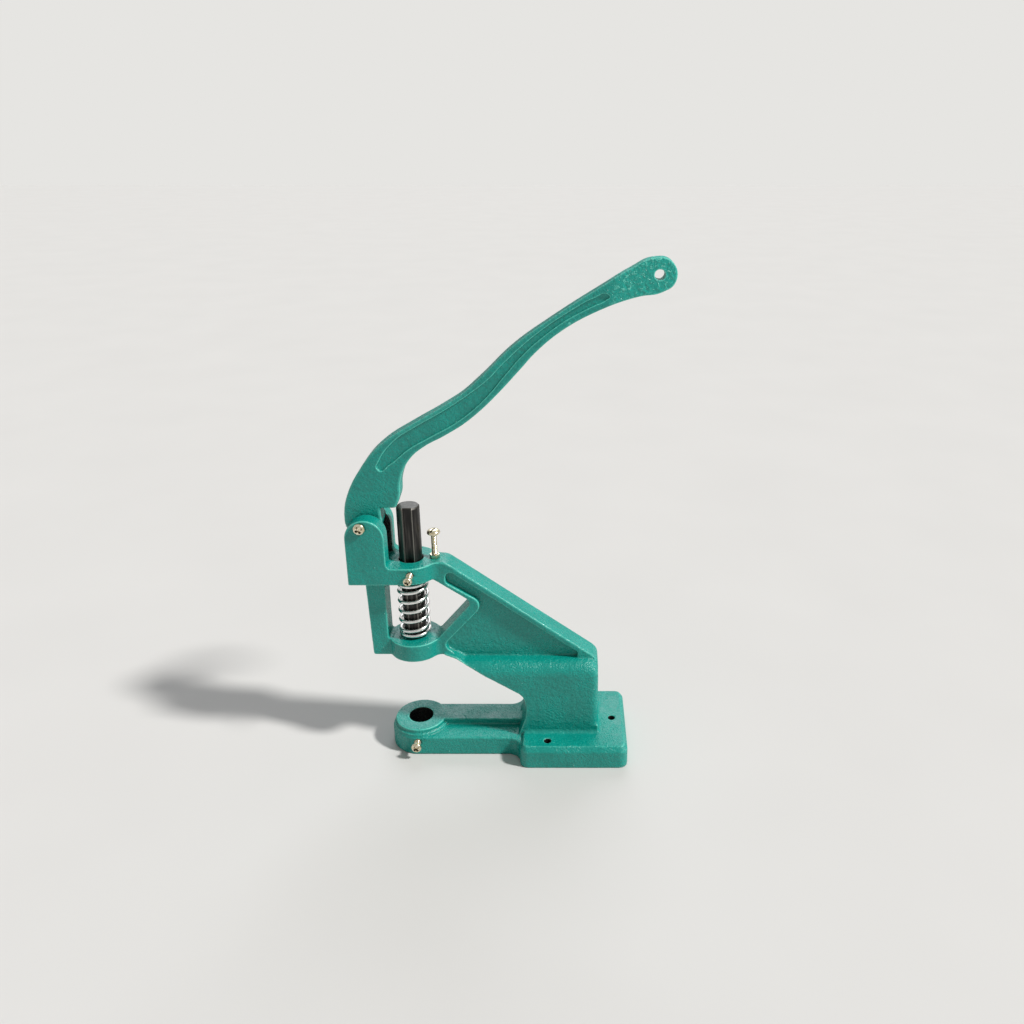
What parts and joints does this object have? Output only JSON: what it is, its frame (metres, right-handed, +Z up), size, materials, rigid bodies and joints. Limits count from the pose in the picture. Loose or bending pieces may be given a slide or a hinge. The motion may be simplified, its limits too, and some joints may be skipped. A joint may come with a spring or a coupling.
{
  "type": "lever eyelet press",
  "caption": "Cast bench press with a curved hand lever that pushes a sprung round ram down onto a lower die seat, for setting eyelets and snaps.",
  "frame": {"origin": "axis of the lower die hole at the level of the table, directly below the ram", "axes": "+X along the frame from the die seat towards the foot and its column, +Y away from the side with the screw heads, +Z up"},
  "size_m": [0.1876, 0.061, 0.3047],
  "materials": {
    "green_paint": "glossy",
    "black_oxide_steel": "satin",
    "spring_steel": "satin",
    "plated_spring": "glossy",
    "yellow_plated_screws": "glossy"
  },
  "bodies": {
    "frame": {"frame_casting": "green_paint", "pivot_screw": "yellow_plated_screws", "pivot_nut": "yellow_plated_screws", "return_spring": "plated_spring", "guide_screw": "yellow_plated_screws", "stop_lock_nut": "yellow_plated_screws"},
    "lever": {"lever": "green_paint"},
    "ram": {"ram": "black_oxide_steel", "retaining_ring": "spring_steel", "spring_washer": "spring_steel"},
    "stop_screw": {"stop_screw": "yellow_plated_screws"},
    "die_clamp_screw": {"die_clamp_screw": "yellow_plated_screws"}
  },
  "joints": [
    {"name": "lever_hinge", "type": "hinge", "parent": "frame", "child": "lever", "pos_m": [-0.0254, 0, 0.154], "axis": [0, 1, 0], "range_deg": [0, 55], "stiffness_Nm_per_rad": 0.9, "springref_deg": -40.11},
    {"name": "ram_slide", "type": "slide", "parent": "frame", "child": "ram", "axis": [0, 0, -1], "range_m": [0, 0.0195], "deforming": ["return_spring"]},
    {"name": "stop_screw_height", "type": "slide", "parent": "frame", "child": "stop_screw", "axis": [0, 0, 1], "range_m": [-0.004, 0.003]},
    {"name": "die_clamp", "type": "slide", "parent": "frame", "child": "die_clamp_screw", "axis": [0, 1, 0], "range_m": [-0.002, 0.003]}
  ],
  "couplings": [
    {"joint": "ram_slide", "follows": "lever_hinge", "m_per_rad": 0.02005}
  ]
}
